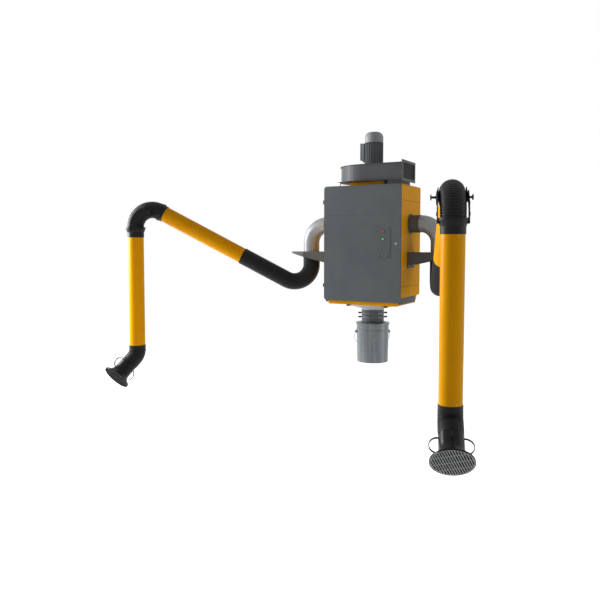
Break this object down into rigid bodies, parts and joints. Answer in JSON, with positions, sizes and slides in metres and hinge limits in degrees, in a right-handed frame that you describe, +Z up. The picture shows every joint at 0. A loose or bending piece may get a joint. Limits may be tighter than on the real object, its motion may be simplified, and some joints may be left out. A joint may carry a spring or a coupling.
{
  "type": "wall-mounted fume extractor",
  "caption": "Wall-mounted fume extractor: a cabinet filter with a roof fan, a dust bin below and jointed extraction arms with swivelling hoods on both sides.",
  "frame": {"origin": "middle of the wall bolt pattern, on the wall plane; the cabinet is centred on it across and its door's mid-height is level with it", "axes": "+X right seen from the front, +Y into the wall, +Z up"},
  "size_m": [4.0046, 2.3824, 2.5528],
  "materials": {
    "yellow_paint": "satin",
    "tube_paint": "satin",
    "slate_paint": "satin",
    "dark_paint": "satin",
    "motor_paint": "satin",
    "light_paint": "satin",
    "galvanised": "satin",
    "steel": "brushed",
    "filter_media": "matte",
    "hose_black": "matte",
    "plastic_black": "satin",
    "panel_grey": "satin",
    "lamp_red": "gloss",
    "lamp_green": "gloss",
    "button_light": "gloss"
  },
  "bodies": {
    "cabinet": {"wall_rails": "dark_paint", "cabinet_shell": "yellow_paint", "base_rails": "dark_paint", "tube_sheet": "galvanised", "filter_cartridges": "filter_media", "pulse_tank": "steel", "fan_plenum": "yellow_paint", "fan_scroll": "dark_paint", "motor_body": "motor_paint", "motor_cowl": "light_paint", "motor_box": "motor_paint", "inlet_collars": "dark_paint", "inlet_ducts": "galvanised", "arm_brackets": "dark_paint", "frame_bolts": "steel", "hopper_cone": "light_paint", "hopper_clamps": "plastic_black", "bin_neck": "dark_paint", "bin_lid": "dark_paint"},
    "door": {"front_door": "slate_paint", "control_panel": "panel_grey", "lamp_red": "lamp_red", "lamp_green": "lamp_green"},
    "door_lock": {"door_lock": "plastic_black"},
    "start_button": {"start_button": "button_light"},
    "stop_button": {"stop_button": "button_light"},
    "rotor": {"impeller": "galvanised", "motor_shaft": "steel"},
    "bin": {"dust_bin": "galvanised"},
    "bail": {"bin_bail": "steel"},
    "left_swivel": {"left_hanger": "steel", "left_shoulder_hose": "hose_black"},
    "left_inner": {"left_link": "steel", "left_inner_tube": "tube_paint", "left_inner_fork": "dark_paint", "left_elbow_hose": "hose_black"},
    "left_outer": {"left_outer_fork": "dark_paint", "left_outer_tube": "tube_paint"},
    "left_knob_a": {"left_knob_a": "plastic_black"},
    "left_knob_b": {"left_knob_b": "plastic_black"},
    "left_turn": {"left_hood_collar": "plastic_black", "left_hood_hose": "hose_black"},
    "left_hood": {"left_hood": "plastic_black", "left_grille": "plastic_black"},
    "left_damper": {"left_damper": "steel"},
    "right_swivel": {"right_hanger": "steel", "right_shoulder_hose": "hose_black"},
    "right_inner": {"right_link": "steel", "right_inner_tube": "tube_paint", "right_inner_fork": "dark_paint", "right_elbow_hose": "hose_black"},
    "right_outer": {"right_outer_fork": "dark_paint", "right_outer_tube": "tube_paint"},
    "right_knob_a": {"right_knob_a": "plastic_black"},
    "right_knob_b": {"right_knob_b": "plastic_black"},
    "right_turn": {"right_hood_collar": "plastic_black", "right_hood_hose": "hose_black"},
    "right_hood": {"right_hood": "plastic_black", "right_grille": "plastic_black"},
    "right_damper": {"right_damper": "steel"}
  },
  "joints": [
    {"name": "door_hinge", "type": "hinge", "parent": "cabinet", "child": "door", "pos_m": [-0.4, -0.574, 0], "axis": [0, 0, 1], "range_deg": [-110, 0]},
    {"name": "lock_turn", "type": "hinge", "parent": "door", "child": "door_lock", "pos_m": [0.345, -0.58, 0], "axis": [0, 1, 0], "range_deg": [0, 90]},
    {"name": "start_press", "type": "slide", "parent": "door", "child": "start_button", "axis": [0, 1, 0], "range_m": [0, 0.003], "stiffness_N_per_m": 400, "springref_m": -0.002},
    {"name": "stop_press", "type": "slide", "parent": "door", "child": "stop_button", "axis": [0, 1, 0], "range_m": [0, 0.003], "stiffness_N_per_m": 400, "springref_m": -0.002},
    {"name": "rotor_spin", "type": "hinge", "parent": "cabinet", "child": "rotor", "pos_m": [0, -0.29, 0.65], "axis": [0, 0, 1], "continuous": true},
    {"name": "bin_drop", "type": "slide", "parent": "cabinet", "child": "bin", "axis": [0, 0, -1], "range_m": [0, 0.45]},
    {"name": "bail_swing", "type": "hinge", "parent": "bin", "child": "bail", "pos_m": [0, -0.29, -0.8623], "axis": [0.866, 0.5, 0], "range_deg": [0, 80]},
    {"name": "left_swing", "type": "hinge", "parent": "cabinet", "child": "left_swivel", "pos_m": [-0.669, -0.315, -0.1], "axis": [0, 0, 1], "range_deg": [-26.5, 90]},
    {"name": "left_raise", "type": "hinge", "parent": "left_swivel", "child": "left_inner", "pos_m": [-0.73614, -0.34847, -0.35615], "axis": [-0.4462, 0.8949, 0], "range_deg": [-20, 35], "deforming": ["left_shoulder_hose"]},
    {"name": "left_bend", "type": "hinge", "parent": "left_inner", "child": "left_outer", "pos_m": [-2.14229, -1.04955, 0.31308], "axis": [-0.4462, 0.8949, 0], "range_deg": [-45, 75], "deforming": ["left_elbow_hose"]},
    {"name": "left_grip_a", "type": "hinge", "parent": "left_inner", "child": "left_knob_a", "pos_m": [-2.14229, -1.04955, 0.31308], "axis": [-0.4462, 0.8949, 0], "range_deg": [0, 360]},
    {"name": "left_grip_b", "type": "hinge", "parent": "left_inner", "child": "left_knob_b", "pos_m": [-2.14229, -1.04955, 0.31308], "axis": [-0.4462, 0.8949, 0], "range_deg": [0, 360]},
    {"name": "left_hood_turn", "type": "hinge", "parent": "left_outer", "child": "left_turn", "pos_m": [-2.2998, -1.12808, -1.08492], "axis": [0, 0, 1], "range_deg": [-120, 120]},
    {"name": "left_hood_tilt", "type": "hinge", "parent": "left_turn", "child": "left_hood", "pos_m": [-2.2998, -1.12808, -1.14555], "axis": [-0.9724, 0.2334, 0], "range_deg": [-70, 35], "deforming": ["left_hood_hose"]},
    {"name": "left_damper_turn", "type": "hinge", "parent": "left_hood", "child": "left_damper", "pos_m": [-2.33304, -1.26655, -1.27147], "axis": [-0.9724, 0.2334, 0], "range_deg": [0, 90]},
    {"name": "right_swing", "type": "hinge", "parent": "cabinet", "child": "right_swivel", "pos_m": [0.669, -0.315, -0.1], "axis": [0, 0, 1], "range_deg": [-46.5, 70.5]},
    {"name": "right_raise", "type": "hinge", "parent": "right_swivel", "child": "right_inner", "pos_m": [0.69404, -0.38572, -0.35615], "axis": [-0.9426, -0.3338, 0], "range_deg": [-20, 35], "deforming": ["right_shoulder_hose"]},
    {"name": "right_bend", "type": "hinge", "parent": "right_inner", "child": "right_outer", "pos_m": [1.21853, -1.86682, 0.31308], "axis": [-0.9426, -0.3338, 0], "range_deg": [-45, 75], "deforming": ["right_elbow_hose"]},
    {"name": "right_grip_a", "type": "hinge", "parent": "right_inner", "child": "right_knob_a", "pos_m": [1.21853, -1.86682, 0.31308], "axis": [-0.9426, -0.3338, 0], "range_deg": [0, 360]},
    {"name": "right_grip_b", "type": "hinge", "parent": "right_inner", "child": "right_knob_b", "pos_m": [1.21853, -1.86682, 0.31308], "axis": [-0.9426, -0.3338, 0], "range_deg": [0, 360]},
    {"name": "right_hood_turn", "type": "hinge", "parent": "right_outer", "child": "right_turn", "pos_m": [1.27728, -2.03273, -1.08492], "axis": [0, 0, 1], "range_deg": [-120, 120]},
    {"name": "right_hood_tilt", "type": "hinge", "parent": "right_turn", "child": "right_hood", "pos_m": [1.27728, -2.03273, -1.14555], "axis": [-0.9426, -0.3338, 0], "range_deg": [-70, 35], "deforming": ["right_hood_hose"]},
    {"name": "right_damper_turn", "type": "hinge", "parent": "right_hood", "child": "right_damper", "pos_m": [1.32481, -2.16696, -1.27147], "axis": [0.2101, -0.5932, 0.7771], "range_deg": [0, 90]}
  ]
}
